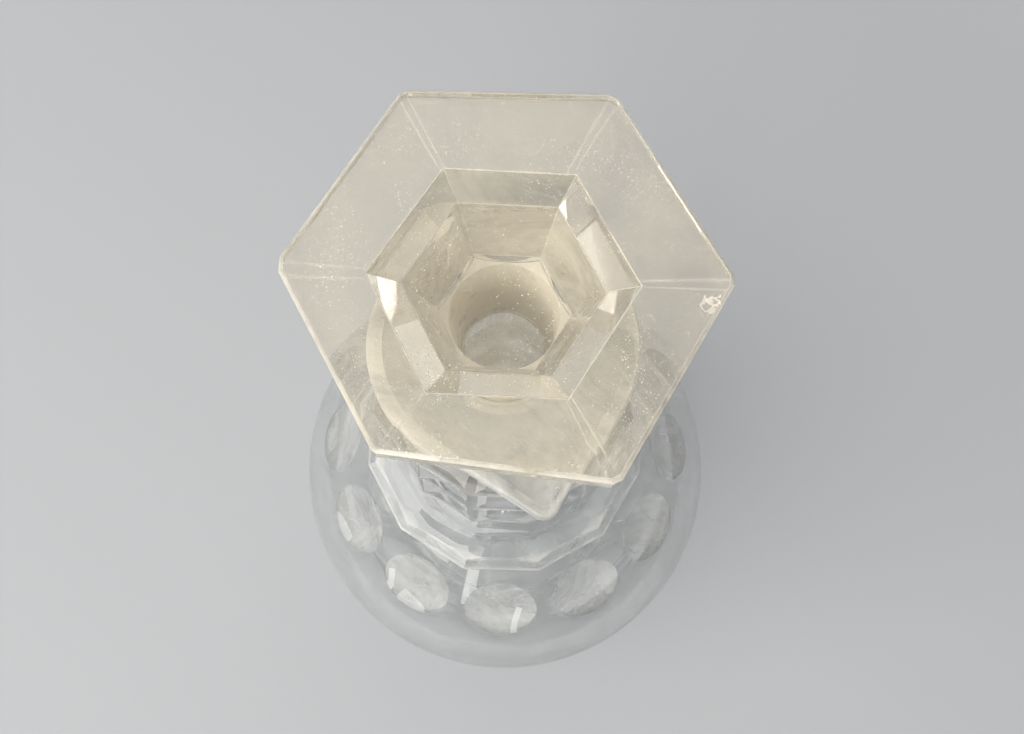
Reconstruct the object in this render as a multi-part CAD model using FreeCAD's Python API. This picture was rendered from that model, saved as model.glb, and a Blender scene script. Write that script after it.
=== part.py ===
# Cut-glass decanter: a blown vessel with a pouring lip, applied neck rings and a six-sided stopper.
# Millimetres, +Z up. The origin is the middle of the base, on the surface that the decanter stands on.
# The pouring lip points along -Y.
import FreeCAD
import Part
import math
import os

# Body: round shoulder, widest above the middle, drawn in to a thick base.
body_radius = 56.0
widest_height = 99.0
base_radius = 43.5
base_edge_radius = 3.0
foot_inner_radius = 32.0
base_hollow_depth = 3.0
shoulder_wall = 5.5
cavity_foot_radius = 37.5
cavity_corner_radius = 9.0
floor_thickness = 9.0

# Collar: a sharp many-sided step where the neck meets the shoulder.
collar_corner_radius = 33.5
collar_seat_radius = 31.6
collar_rim_height = 2.8
collar_slope = 12.0
collar_facet_slope = 30.0
collar_facet_reach = 3.8

# Neck: straight, cut in flat flutes between the rings, flaring out to the collar.
neck_radius = 17.0
neck_flare_radius = 10.5
neck_bore_radius = 8.5
bore_mouth_blend_radius = 14.0
flute_count = 12
neck_flute_depth = 0.7
neck_flute_slope = 8.0
neck_flute_runout = 3.3
neck_flute_end_slope = 60.0
neck_flute_top_share = 0.86

# Applied neck rings, largest at the bottom, each cut to a many-sided edge.
# They are spaced evenly up the straight part of the neck, and take shares of its length.
ring_names = ("neck_ring_lower", "neck_ring_middle", "neck_ring_upper")
ring_corner_radius = 24.2
ring_radius_step = 0.7
ring_crown_radius = 18.6
ring_facet_lean = 0.95
ring_height_share = 0.174
ring_pitch_share = 0.326
first_ring_foot_share = 0.013

# Lip: round rim drawn out to a pouring spout, with a dished top.
lip_radius = 21.1
spout_reach = 29.5
spout_tip_radius = 2.5
lip_top_height = 220.0
lip_rim_thickness = 3.6
lip_flare_height = 13.0
lip_rim_bevel = 0.7
lip_land_width = 2.6
dish_depth = 3.0
dish_foot_radius = 10.4
least_reach = 0.3
lip_root_inset = 1.0
lip_middle_share = 0.42
lip_middle_radius_share = 0.36
lip_middle_reach_share = 0.26

# Shoulder cuts: round hollow lens cuts in a ring below the collar.
lens_cut_radius = 8.7
lens_wheel_radius = 23.0
lens_cut_latitude = 42.2

# Base cuts: long hollow flutes with arched tops.
base_flute_wheel_radius = 60.0
base_flute_depth = 2.1
base_flute_start_height = 6.0
base_flute_top_height = 58.0

# Stopper: flat six-sided table on a flared six-sided neck, then a shank, a heel and a ground taper peg.
table_corner_radius = 30.6
table_turn = -15.5
table_corner_shares = (1.007, 1.017, 1.011, 0.989, 0.946, 1.028)
table_corner_turns = (0.1, 1.75, -0.3, -0.3, -2.1, -0.8)
table_blunt_shares = (0.055, 0.055, 0.045, 0.08, 0.025, 0.05)
table_bevel = 0.6
girdle_height = 3.0
underside_drop = 1.2
underside_end_share = 0.5
shank_turn = -16.3
flare_top_radius = 19.5
flare_drop = 5.4
shank_top_radius = 14.2
shank_length = 15.4
shank_foot_radius = 10.1
heel_height = 4.0
heel_end_radius = 9.9
heel_cone_slope = 50.0
peg_top_radius = 8.4
peg_end_radius = 7.1
peg_length = 27.6
peg_end_bevel = 0.4
peg_clearance = 0.15
table_above_lip = 30.0
socket_end_gap = 1.0
socket_relief_height = 3.0

overrun = 5.0

# Heights and slopes that follow from the sizes above.
facet_angle = 360.0 / flute_count
half_facet = math.radians(facet_angle / 2)
flat_share = math.cos(half_facet)
cavity_radius = body_radius - shoulder_wall
collar_underside = widest_height + math.sqrt(body_radius ** 2 - collar_seat_radius ** 2)
collar_top = collar_underside + collar_rim_height
lip_root_height = lip_top_height - lip_flare_height - lip_root_inset
table_height = lip_top_height + table_above_lip
heel_end_depth = table_bevel + girdle_height + flare_drop + shank_length + heel_height
peg_top_height = table_height - heel_end_depth
peg_end_height = peg_top_height - peg_length
peg_taper = (peg_top_radius - peg_end_radius) / peg_length
mouth_height = lip_top_height - dish_depth
socket_end_height = peg_end_height - socket_end_gap


def at(radius, height):
    """Point of an upright outline: distance from the axis and height."""
    return FreeCAD.Vector(radius, 0, height)


def line(start, end):
    return Part.LineSegment(start, end).toShape()


def arc(start, middle, end):
    return Part.Arc(start, middle, end).toShape()


def round_arc(centre, radius, from_degrees, to_degrees):
    """Arc of an upright outline round a centre, by its angles from the outward direction."""
    points = []
    for degrees in (from_degrees, (from_degrees + to_degrees) / 2, to_degrees):
        turn = math.radians(degrees)
        points.append(centre + at(radius * math.cos(turn), radius * math.sin(turn)))
    return arc(*points)


def bow_point(widest, foot, height):
    """Point at a height of the arc that leaves the widest point upright and passes through a lower foot."""
    inward = widest.x - foot.x
    drop = widest.z - foot.z
    bow = (inward ** 2 + drop ** 2) / (2 * inward)
    return at(widest.x - bow + math.sqrt(bow ** 2 - (widest.z - height) ** 2), height)


def bow_arc(widest, foot):
    return arc(foot, bow_point(widest, foot, (foot.z + widest.z) / 2), widest)


def flare(upright_radius, blend_radius, slope_degrees, end):
    """Upright line that curves out to a sloping line through an end point: its start and tangent points."""
    slope = math.radians(slope_degrees)
    tangent_radius = upright_radius + blend_radius * (1 - math.sin(slope))
    tangent = at(tangent_radius, end.z + (end.x - tangent_radius) * math.tan(slope))
    start = at(upright_radius, tangent.z + blend_radius * math.cos(slope))
    centre = at(upright_radius + blend_radius, start.z)
    return start, tangent, round_arc(centre, blend_radius, 180.0, 270.0 - slope_degrees)


def spun(edges):
    """Solid of revolution of a closed upright outline."""
    face = Part.Face(Part.Wire(edges))
    return face.revolve(FreeCAD.Vector(), FreeCAD.Vector(0, 0, 1), 360)


def spun_points(points):
    corners = list(points) + [points[0]]
    return spun([line(a, b) for a, b in zip(corners, corners[1:])])


def around(shape, count, first_degrees=0.0):
    """Copies of a shape, evenly spaced round the axis."""
    copies = []
    for k in range(count):
        copy = shape.copy()
        copy.rotate(FreeCAD.Vector(), FreeCAD.Vector(0, 0, 1), first_degrees + 360.0 * k / count)
        copies.append(copy)
    return copies


def side_cutter(edges, half_width):
    """Upright outline in the plane of one flute, carried straight across it."""
    face = Part.Face(Part.Wire(edges))
    face.translate(FreeCAD.Vector(0, -half_width, 0))
    return face.extrude(FreeCAD.Vector(0, 2 * half_width, 0))


def regular_wire(flat_radius, height):
    """Many-sided outline with flats at the flutes' directions."""
    corner_radius = flat_radius / flat_share
    corners = []
    for k in range(flute_count + 1):
        turn = 2 * k * half_facet
        corners.append(FreeCAD.Vector(corner_radius * math.cos(turn), corner_radius * math.sin(turn), height))
    return Part.makePolygon(corners)


def spout_wire(height, radius, reach, tip_radius):
    """Round outline drawn out towards -Y to a small rounded tip, with straight sides that touch both."""
    tip_centre = reach - tip_radius
    turn = math.acos((radius - tip_radius) / tip_centre)
    across = math.sin(turn)
    along = math.cos(turn)
    left = FreeCAD.Vector(-radius * across, -radius * along, height)
    right = FreeCAD.Vector(radius * across, -radius * along, height)
    tip_left = FreeCAD.Vector(-tip_radius * across, -tip_centre - tip_radius * along, height)
    tip_right = FreeCAD.Vector(tip_radius * across, -tip_centre - tip_radius * along, height)
    edges = [
        arc(right, FreeCAD.Vector(0, radius, height), left),
        line(left, tip_left),
        arc(tip_left, FreeCAD.Vector(0, -reach, height), tip_right),
        line(tip_right, right),
    ]
    return Part.Wire(edges)


def blank_outline():
    """Outer outline of the vessel from the middle of the base to the top of the neck."""
    hollow_radius = (foot_inner_radius ** 2 + base_hollow_depth ** 2) / (2 * base_hollow_depth)
    half_foot = foot_inner_radius / 2
    hollow_fall = hollow_radius - math.sqrt(hollow_radius ** 2 - half_foot ** 2)
    hollow_top = at(0, base_hollow_depth)
    foot_inner = at(foot_inner_radius, 0)
    foot_outer = at(base_radius - base_edge_radius, 0)
    wall_foot = at(base_radius, base_edge_radius)
    widest = at(body_radius, widest_height)
    seat_degrees = math.degrees(math.acos(collar_seat_radius / body_radius))
    collar_seat = at(collar_seat_radius, collar_underside)
    collar_foot = at(collar_corner_radius, collar_underside)
    collar_edge = at(collar_corner_radius, collar_top)
    neck_start, flare_end, flare_arc = flare(neck_radius, neck_flare_radius, collar_slope, collar_edge)
    neck_top = at(neck_radius, lip_top_height - lip_flare_height)
    return [
        arc(hollow_top, at(half_foot, base_hollow_depth - hollow_fall), foot_inner),
        line(foot_inner, foot_outer),
        round_arc(at(base_radius - base_edge_radius, base_edge_radius), base_edge_radius, -90.0, 0.0),
        bow_arc(widest, wall_foot),
        round_arc(at(0, widest_height), body_radius, 0.0, seat_degrees),
        line(collar_seat, collar_foot),
        line(collar_foot, collar_edge),
        line(collar_edge, flare_end),
        flare_arc,
        line(neck_start, neck_top),
        line(neck_top, at(0, neck_top.z)),
        line(at(0, neck_top.z), hollow_top),
    ]


def cavity_outline():
    """Outline of the space inside: floor, wall, shoulder, bore, ground socket and mouth."""
    floor = base_hollow_depth + floor_thickness
    corner_centre = at(cavity_foot_radius - cavity_corner_radius, floor + cavity_corner_radius)
    widest = at(cavity_radius, widest_height)
    blend_rise = math.sqrt((cavity_radius + bore_mouth_blend_radius) ** 2
                           - (neck_bore_radius + bore_mouth_blend_radius) ** 2)
    blend_centre = at(neck_bore_radius + bore_mouth_blend_radius, widest_height + blend_rise)
    blend_degrees = math.degrees(math.atan2(blend_rise, neck_bore_radius + bore_mouth_blend_radius))
    bore_start = at(neck_bore_radius, blend_centre.z)
    relief = at(neck_bore_radius, socket_end_height - socket_relief_height)
    socket_end = at(peg_radius_at(socket_end_height) + peg_clearance, socket_end_height)
    top = lip_top_height + overrun
    socket_top = at(peg_radius_at(top) + peg_clearance, top)
    return [
        line(at(0, floor), at(corner_centre.x, floor)),
        round_arc(corner_centre, cavity_corner_radius, -90.0, 0.0),
        bow_arc(widest, at(cavity_foot_radius, corner_centre.z)),
        round_arc(at(0, widest_height), cavity_radius, 0.0, blend_degrees),
        round_arc(blend_centre, bore_mouth_blend_radius, 180.0 + blend_degrees, 180.0),
        line(bore_start, relief),
        line(relief, socket_end),
        line(socket_end, socket_top),
        line(socket_top, at(0, top)),
        line(at(0, top), at(0, floor)),
    ]


def peg_radius_at(height):
    return peg_end_radius + (height - peg_end_height) * peg_taper


def lip():
    """Rim and spout, flaring out of the neck, with a bevelled top edge."""
    under_rim = lip_top_height - lip_rim_thickness
    bevel_foot = lip_top_height - lip_rim_bevel
    root_radius = neck_radius - lip_root_inset
    middle = lip_root_height + lip_middle_share * (under_rim - lip_root_height)
    middle_radius = root_radius + lip_middle_radius_share * (lip_radius - root_radius)
    middle_reach = root_radius + lip_middle_reach_share * (spout_reach - root_radius)
    flaring = Part.makeLoft([
        spout_wire(lip_root_height, root_radius, root_radius + least_reach, spout_tip_radius),
        spout_wire(middle, middle_radius, middle_reach, spout_tip_radius),
        spout_wire(under_rim, lip_radius - lip_rim_bevel, spout_reach - lip_rim_bevel, spout_tip_radius),
        spout_wire(bevel_foot, lip_radius, spout_reach, spout_tip_radius),
    ], True, False)
    bevel = Part.makeLoft([
        spout_wire(bevel_foot, lip_radius, spout_reach, spout_tip_radius),
        spout_wire(lip_top_height, lip_radius - lip_rim_bevel, spout_reach - lip_rim_bevel,
                   spout_tip_radius - lip_rim_bevel),
    ], True, True)
    return flaring.fuse(bevel)


def dish():
    """Hollow in the top of the lip that runs into the spout."""
    rim_radius = lip_radius - lip_land_width
    rim_reach = spout_reach - lip_land_width
    rise = (dish_depth + overrun) / dish_depth
    top_radius = dish_foot_radius + rise * (rim_radius - dish_foot_radius)
    top_reach = dish_foot_radius + rise * (rim_reach - dish_foot_radius)
    return Part.makeLoft([
        spout_wire(mouth_height, dish_foot_radius, dish_foot_radius + least_reach, spout_tip_radius),
        spout_wire(mouth_height + rise * dish_depth, top_radius, top_reach, spout_tip_radius),
    ], True, True)


def collar_cutter():
    """All round the collar: what lies outside its upright flats and its sloping facets."""
    outer_radius = collar_corner_radius + overrun
    flat_radius = collar_corner_radius * flat_share
    facet_rise = math.tan(math.radians(collar_facet_slope))
    slope_rise = math.tan(math.radians(collar_slope))
    facet_top_radius = collar_corner_radius - collar_facet_reach
    facet_top = collar_top + collar_facet_reach * slope_rise
    facet_foot = facet_top - (flat_radius - facet_top_radius) * facet_rise
    cutter_top = facet_foot + overrun
    blank = Part.makeCylinder(outer_radius, cutter_top - collar_underside, at(0, collar_underside))
    keep = Part.makeLoft([
        regular_wire(flat_radius, collar_underside),
        regular_wire(flat_radius, facet_foot),
        regular_wire(flat_radius - overrun / facet_rise, cutter_top),
    ], True, True)
    return blank.cut(keep)


def ring_ends(index):
    """Heights of a ring's underside and top, counted up from the lowest ring."""
    collar_edge = at(collar_corner_radius, collar_top)
    straight_start = flare(neck_radius, neck_flare_radius, collar_slope, collar_edge)[0].z
    straight_length = lip_root_height - straight_start
    low = straight_start + straight_length * (first_ring_foot_share + index * ring_pitch_share)
    return low, low + straight_length * ring_height_share


def neck_flute_cutters():
    """Flat flutes: one set runs out over the flare, and the others lie between the rings and above them."""
    flat_radius = neck_radius - neck_flute_depth
    far = collar_corner_radius + overrun
    slope_rise = math.tan(math.radians(collar_slope))
    runout = at(collar_corner_radius - neck_flute_runout, collar_top + neck_flute_runout * slope_rise)
    start, tangent, curve = flare(flat_radius, neck_flare_radius, neck_flute_slope, runout)
    far_end = at(far, runout.z - (far - runout.x) * math.tan(math.radians(neck_flute_slope)))
    top = ring_ends(0)[0]
    shapes = [side_cutter([
        line(at(flat_radius, top), start),
        curve,
        line(tangent, far_end),
        line(far_end, at(far, top)),
        line(at(far, top), at(flat_radius, top)),
    ], neck_radius)]
    reach = ring_corner_radius
    for index in range(len(ring_names)):
        low = ring_ends(index)[1]
        if index + 1 < len(ring_names):
            high = ring_ends(index + 1)[0]
            high_far = high
        else:
            high = low + neck_flute_top_share * (lip_root_height - low)
            high_far = high + (reach - flat_radius) * math.tan(math.radians(neck_flute_end_slope))
        corners = (at(flat_radius, low), at(reach, low), at(reach, high_far), at(flat_radius, high))
        edges = [line(a, b) for a, b in zip(corners, corners[1:] + corners[:1])]
        shapes.append(side_cutter(edges, neck_radius))
    cutters = []
    for shape in shapes:
        cutters += around(shape, flute_count, facet_angle / 2)
    return cutters


def lens_cutters():
    """Round wheels that leave a ring of hollow lens cuts on the shoulder."""
    ball_sink = body_radius - math.sqrt(body_radius ** 2 - lens_cut_radius ** 2)
    wheel_sink = lens_wheel_radius - math.sqrt(lens_wheel_radius ** 2 - lens_cut_radius ** 2)
    distance = body_radius + lens_wheel_radius - ball_sink - wheel_sink
    latitude = math.radians(lens_cut_latitude)
    centre = at(distance * math.cos(latitude), widest_height + distance * math.sin(latitude))
    wheel = Part.makeSphere(lens_wheel_radius, centre)
    return around(wheel, flute_count, facet_angle / 2)


def base_flute_cutters():
    """Leaning round wheels that leave flutes open at the base and arched at the top."""
    widest = at(body_radius, widest_height)
    wall_foot = at(base_radius, base_edge_radius)
    low = bow_point(widest, wall_foot, base_flute_start_height) - at(base_flute_depth, 0)
    high = bow_point(widest, wall_foot, base_flute_top_height)
    along = (high - low).normalize()
    outward = FreeCAD.Vector(along.z, 0, -along.x)
    length = widest_height + overrun
    foot = low - along * (base_flute_start_height + overrun) + outward * base_flute_wheel_radius
    wheel = Part.makeCylinder(base_flute_wheel_radius, length, foot, along)
    return around(wheel, flute_count, facet_angle / 2)


def decanter_vessel():
    blank = spun(blank_outline()).fuse(lip())
    blank = blank.cut([collar_cutter()] + neck_flute_cutters())
    blank = blank.cut(lens_cutters() + base_flute_cutters())
    return blank.cut([spun(cavity_outline()), dish()]).removeSplitter()


def neck_ring(index):
    """Applied ring: a double cone cut by sloping facets that meet in a many-sided edge."""
    corner_radius = ring_corner_radius - index * ring_radius_step
    crown_radius = ring_crown_radius - index * ring_radius_step
    low, high = ring_ends(index)
    middle = (low + high) / 2
    double_cone = spun_points([
        at(neck_radius, low),
        at(crown_radius, low),
        at(corner_radius, middle),
        at(crown_radius, high),
        at(neck_radius, high),
    ])
    flat_radius = corner_radius * flat_share
    crown_flat_radius = flat_radius - (high - middle) * ring_facet_lean
    facets = Part.makeLoft([
        regular_wire(crown_flat_radius, low),
        regular_wire(flat_radius, middle),
        regular_wire(crown_flat_radius, high),
    ], True, True)
    return double_cone.common(facets).removeSplitter()


def table_wire(scale, depth):
    """Six-sided outline with blunted corners, as the table was cut, at a depth below the table."""
    corners = []
    for k, (share, extra) in enumerate(zip(table_corner_shares, table_corner_turns)):
        turn = math.radians(table_turn + 360.0 * k / len(table_corner_shares) + extra)
        radius = scale * share * table_corner_radius
        corners.append(FreeCAD.Vector(radius * math.cos(turn), radius * math.sin(turn), table_height - depth))
    points = []
    for k, corner in enumerate(corners):
        blunt = table_blunt_shares[k] * table_corner_radius * scale / 2
        for neighbour in (corners[k - 1], corners[(k + 1) % len(corners)]):
            towards = (neighbour - corner).normalize()
            points.append(corner + towards * blunt)
    return Part.makePolygon(points + [points[0]])


def shank_wire(radius, depth):
    """Even six-sided outline of the neck, the shank or the heel, at a depth below the table."""
    corners = []
    for k in range(len(table_corner_shares) + 1):
        turn = math.radians(shank_turn + 360.0 * k / len(table_corner_shares))
        corners.append(FreeCAD.Vector(radius * math.cos(turn), radius * math.sin(turn), table_height - depth))
    return Part.makePolygon(corners)


def stopper():
    """Solid cut stopper. The heel's flats end in arches above the round ground peg."""
    girdle_foot = table_bevel + girdle_height
    shank_top = girdle_foot + flare_drop
    shank_foot = shank_top + shank_length
    plate = Part.makeLoft([
        table_wire(1 - table_bevel / table_corner_radius, 0),
        table_wire(1, table_bevel),
        table_wire(1, girdle_foot),
        table_wire(underside_end_share, girdle_foot + underside_drop),
    ], True, True)
    neck = Part.makeLoft([
        shank_wire(flare_top_radius, girdle_foot),
        shank_wire(shank_top_radius, shank_top),
        shank_wire(shank_foot_radius, shank_foot),
        shank_wire(heel_end_radius, heel_end_depth),
    ], True, True)
    cone_rise = math.tan(math.radians(heel_cone_slope))
    full_radius = table_corner_radius * max(table_corner_shares) + overrun
    cone_top = peg_top_height + (full_radius - peg_top_radius) * cone_rise
    turned = spun_points([
        at(0, peg_top_height),
        at(peg_top_radius, peg_top_height),
        at(full_radius, cone_top),
        at(full_radius, cone_top + table_height),
        at(0, cone_top + table_height),
    ])
    peg = spun_points([
        at(0, peg_end_height),
        at(peg_end_radius - peg_end_bevel, peg_end_height),
        at(peg_radius_at(peg_end_height + peg_end_bevel), peg_end_height + peg_end_bevel),
        at(peg_top_radius, peg_top_height),
        at(0, peg_top_height),
    ])
    return plate.fuse(neck).common(turned).fuse(peg).removeSplitter()


def save(name, shape):
    """Writes one piece, after checking that it is a single sound solid."""
    solids = shape.Solids
    print(name, "solids", len(solids), "valid", shape.isValid(), "volume", round(shape.Volume / 1000, 2))
    solids[0].exportStep(os.path.join("parts", name + ".step"))


os.makedirs("parts", exist_ok=True)
save("decanter_vessel", decanter_vessel())
for ring_index, ring_name in enumerate(ring_names):
    save(ring_name, neck_ring(ring_index))
save("stopper", stopper())
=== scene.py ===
import math

import bpy
import numpy as np
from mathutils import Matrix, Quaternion, Vector


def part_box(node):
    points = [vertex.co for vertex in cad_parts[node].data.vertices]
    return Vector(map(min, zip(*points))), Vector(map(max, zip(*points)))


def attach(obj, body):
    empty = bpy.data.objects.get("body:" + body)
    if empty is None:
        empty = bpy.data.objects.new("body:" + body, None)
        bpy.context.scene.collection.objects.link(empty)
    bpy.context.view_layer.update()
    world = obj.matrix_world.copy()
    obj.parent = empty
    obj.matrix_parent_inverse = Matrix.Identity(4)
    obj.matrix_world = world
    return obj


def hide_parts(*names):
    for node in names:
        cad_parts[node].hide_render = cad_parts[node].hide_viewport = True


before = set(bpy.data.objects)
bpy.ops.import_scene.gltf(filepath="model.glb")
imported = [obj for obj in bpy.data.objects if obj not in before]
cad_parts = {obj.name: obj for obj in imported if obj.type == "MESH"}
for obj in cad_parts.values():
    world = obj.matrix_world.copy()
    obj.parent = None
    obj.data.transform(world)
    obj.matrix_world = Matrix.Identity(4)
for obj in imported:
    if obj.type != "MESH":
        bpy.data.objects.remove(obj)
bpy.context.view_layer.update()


# The decanter's glass: a blown blank of clear lead glass whose three neck rings were applied hot, so that
# vessel and rings are one piece. It was then cut on wheels: twelve flutes up the neck, a twelve-sided collar,
# a ring of round hollow cuts on the shoulder and arched flutes up from the base.
mm = 0.001
_, vessel_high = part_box("decanter_vessel")
lip_top = vessel_high.z
body_radius = vessel_high.x
widest_height = 99.0 * mm
base_radius = 43.5 * mm
base_edge = 3.0 * mm
foot_inner_radius = 32.0 * mm
base_hollow = 3.0 * mm

flute_count = 12
half_flute = math.pi / flute_count
lens_latitude = math.radians(42.2)
lens_radius = 8.7 * mm
lens_wheel = 23.0 * mm
base_wheel = 60.0 * mm
base_flute_depth = 2.1 * mm
base_flute_low = 6.0 * mm
base_flute_top = 58.0 * mm

collar_seat_radius = 31.6 * mm
collar_corner = 33.5 * mm
collar_rim = 2.8 * mm
collar_slope = math.tan(math.radians(12.0))
collar_facet_slope = math.tan(math.radians(30.0))
collar_facet_reach = 3.8 * mm
collar_flat = collar_corner * math.cos(half_flute)

neck_radius = 17.0 * mm
neck_flat = neck_radius - 0.7 * mm
neck_flare = 10.5 * mm
neck_flute_tilt = math.radians(8.0)
neck_flute_runout = 3.3 * mm
neck_flute_end_slope = math.tan(math.radians(60.0))
neck_flute_top_share = 0.86

ring_nodes = ("neck_ring_lower", "neck_ring_middle", "neck_ring_upper")
ring_corner = 24.2 * mm
ring_crown = 18.6 * mm
ring_step = 0.7 * mm
ring_lean = 0.95

rim_radius = 21.1 * mm
spout_reach = 29.5 * mm
spout_tip = 2.5 * mm
rim_edge = 0.7 * mm
rim_thickness = 3.6 * mm
flare_height = 16.0 * mm
lip_root_drop = 14.0 * mm
land_width = 2.6 * mm
dish_depth = 3.0 * mm
dish_foot = 10.4 * mm
dish_foot_reach = 10.7 * mm

cavity_radius = body_radius - 5.5 * mm
cavity_foot = 37.5 * mm
cavity_corner = 9.0 * mm
floor_height = 12.0 * mm
bore_radius = 8.5 * mm
bore_blend = 14.0 * mm
stopper_low, stopper_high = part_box("stopper")
peg_end = stopper_low.z
peg_end_radius = 7.1 * mm
peg_top_radius = 8.4 * mm
peg_length = 27.6 * mm
peg_clearance = 0.15 * mm
socket_gap = 1.0 * mm
relief_height = 3.0 * mm

# The columns of the grid stand in upright planes through the axis: 26 to a flute, closest together at the
# sides of the round cuts. offset is a column's angle from the middle of its flute.
lens_spread = math.asin(lens_radius / body_radius)
lens_half_width = math.acos(
    math.sqrt(math.cos(lens_spread) ** 2 - math.sin(lens_latitude) ** 2) / math.cos(lens_latitude)
)
inner_columns = lens_half_width * np.sin(np.linspace(-0.5, 0.5, 21) * math.pi)
outer_columns = lens_half_width + (half_flute - lens_half_width) * np.array([1, 2]) / 3
flute_columns = np.concatenate([[-half_flute], -outer_columns[::-1], inner_columns, outer_columns])
offset = np.tile(flute_columns, flute_count)
centres = (2 * np.arange(flute_count) + 1) * half_flute
angle = np.repeat(centres, len(flute_columns)) + offset
column_count = len(angle)


def steps(start, end, count, power=1.0):
    """Rows from start up to, and without, end: start + (end - start) * share ** power, in every column."""
    share = (np.arange(count) / count)[:, None] ** power
    return start + (end - start) * share


def rows(radius, height, reach=None, tip=spout_tip):
    """Rows of the section as an array of radius, spout reach, tip radius and height for every column."""
    reach = radius if reach is None else reach
    count = max(np.shape(a)[0] for a in (radius, height, reach, tip) if np.ndim(a) == 2)
    return np.stack([np.broadcast_to(a, (count, column_count)) for a in (radius, reach, tip, height)], axis=-1)


def wall(height):
    """Radius of the wall below the widest height: an arc that leaves it upright and ends at the foot."""
    inward, drop = body_radius - base_radius, widest_height - base_edge
    bow = (inward ** 2 + drop ** 2) / (2 * inward)
    upper = body_radius - bow + np.sqrt(bow ** 2 - (widest_height - height) ** 2)
    under = np.clip(base_edge - height, 0, base_edge)
    edge = base_radius - base_edge + np.sqrt(base_edge ** 2 - under ** 2)
    return np.where(height < base_edge, edge, upper)


def base_flute(height):
    """Radius where a column meets the leaning wheel of its base flute: the nearer root of the quadratic that
    puts the point one wheel radius from the wheel's axis."""
    low = np.array([wall(base_flute_low) - base_flute_depth, base_flute_low])
    high = np.array([wall(base_flute_top), base_flute_top])
    along = (high - low) / np.hypot(*(high - low))
    outward = np.array([along[1], -along[0]])
    slope = np.cos(offset) * outward[0]
    shift = (height - low[1]) * outward[1] - low[0] * outward[0] - base_wheel
    square = slope ** 2 + np.sin(offset) ** 2
    root = (slope * shift) ** 2 - square * (shift ** 2 - base_wheel ** 2)
    return (-slope * shift - np.sqrt(np.maximum(root, 0))) / square


def crossing(low, high, inside):
    """Height or radius between low and high where inside stops being true: the span is halved again and again
    in every column."""
    low, high = (np.broadcast_to(a, column_count) * 1.0 for a in (low, high))
    for _ in range(30):
        middle = (low + high) / 2
        still = inside(middle)
        low, high = np.where(still, middle, low), np.where(still, high, middle)
    return low


def shoulder(latitude):
    """Distance from the body's centre: the ball, or the round wheel's surface where that lies nearer."""
    sink = body_radius * (1 - math.cos(lens_spread)) + lens_wheel - math.sqrt(lens_wheel ** 2 - lens_radius ** 2)
    distance = body_radius + lens_wheel - sink
    near = np.sin(latitude) * math.sin(lens_latitude) + np.cos(latitude) * math.cos(lens_latitude) * np.cos(offset)
    cut = distance * near - np.sqrt(np.maximum(lens_wheel ** 2 - distance ** 2 * (1 - near ** 2), 0))
    touched = distance ** 2 * (1 - near ** 2) < lens_wheel ** 2
    return np.where(touched, np.minimum(cut, body_radius), body_radius)


def on_shoulder(latitude):
    distance = shoulder(latitude)
    return rows(distance * np.cos(latitude), widest_height + distance * np.sin(latitude))


def arc_rows(centre_radius, centre_height, radius, start, end, count):
    """Rows round a circle of the section from one angle to another, in degrees from outward."""
    turn = np.radians(steps(start, end, count))
    return rows(centre_radius + radius * np.cos(turn), centre_height + radius * np.sin(turn))


# The rows are gathered from the base, up the outside, and down to the floor inside. Beside them stand the numbers
# of the rows that are sharp edges, of those that use has worn and that carry a painted highlight, and of those
# from which the cloudiness changes.
sections = []
crease_rows = []
worn_highlit_rows = []
cloud_rows = []
cloud_shares = []
base_cloud = 0.10
shoulder_cloud = 0.16
lens_cloud = 0.34
collar_cloud = 0.24
neck_cloud = 0.12
flare_cloud = 0.20
rim_cloud_and_highlight = 0.7
dish_cloud_and_painted_light = 0.6
socket_cloud = 0.9
inside_cloud = 0.05
worn_highlit_edge_cloud = 0.36


def crease():
    crease_rows.append(sum(len(s) for s in sections))


def worn_highlit_crease():
    """Notes that the next row is an edge that use has worn and on which a highlight is painted."""
    crease()
    worn_highlit_rows.append(crease_rows[-1])


def clouded(share):
    """Notes how cloudy the surface is from the next row on: the share that dust, scratches or grinding cover."""
    cloud_rows.append(sum(len(s) for s in sections))
    cloud_shares.append(share)


# Base, foot ring and wall.
clouded(base_cloud)
hollow_ball = (foot_inner_radius ** 2 + base_hollow ** 2) / (2 * base_hollow)
hollow_radii = steps(0, foot_inner_radius, 6)[1:]
sections.append(rows(hollow_radii, base_hollow - hollow_ball + np.sqrt(hollow_ball ** 2 - hollow_radii ** 2)))
foot_outer = np.minimum(base_radius - base_edge, base_flute(0.0))
crease()
sections.append(rows(steps(foot_inner_radius, foot_outer, 3), np.zeros((3, 1))))
flute_top = crossing(base_edge, base_flute_top + base_edge, lambda z: base_flute(z) < wall(z))
flute_top = np.maximum(flute_top, 1.6 * base_edge)
heights = steps(0, flute_top, 22, 1.7)
sections.append(rows(np.minimum(wall(heights), base_flute(heights)), heights))
crease()
heights = steps(flute_top, widest_height, 14)
sections.append(rows(wall(heights), heights))

# Shoulder with the round hollow cuts.
lens_middle = np.arctan2(math.sin(lens_latitude), math.cos(lens_latitude) * np.cos(offset))
across = np.hypot(math.sin(lens_latitude), math.cos(lens_latitude) * np.cos(offset))
lens_half_height = np.arccos(np.minimum(math.cos(lens_spread) / across, 1))
lens_half_height = np.maximum(lens_half_height, math.radians(1.0))
lens_foot, lens_head = lens_middle - lens_half_height, lens_middle + lens_half_height
seat_latitude = math.acos(collar_seat_radius / body_radius)
clouded(shoulder_cloud)
shoulder_from = sum(len(s) for s in sections)
sections.append(on_shoulder(steps(0, lens_foot, 9)))
crease()
sections.append(on_shoulder(steps(lens_foot, lens_head, 12)))
crease()
sections.append(on_shoulder(steps(lens_head, seat_latitude, 5)))
shoulder_to = sum(len(s) for s in sections)
crease()
clouded(collar_cloud)

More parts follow.
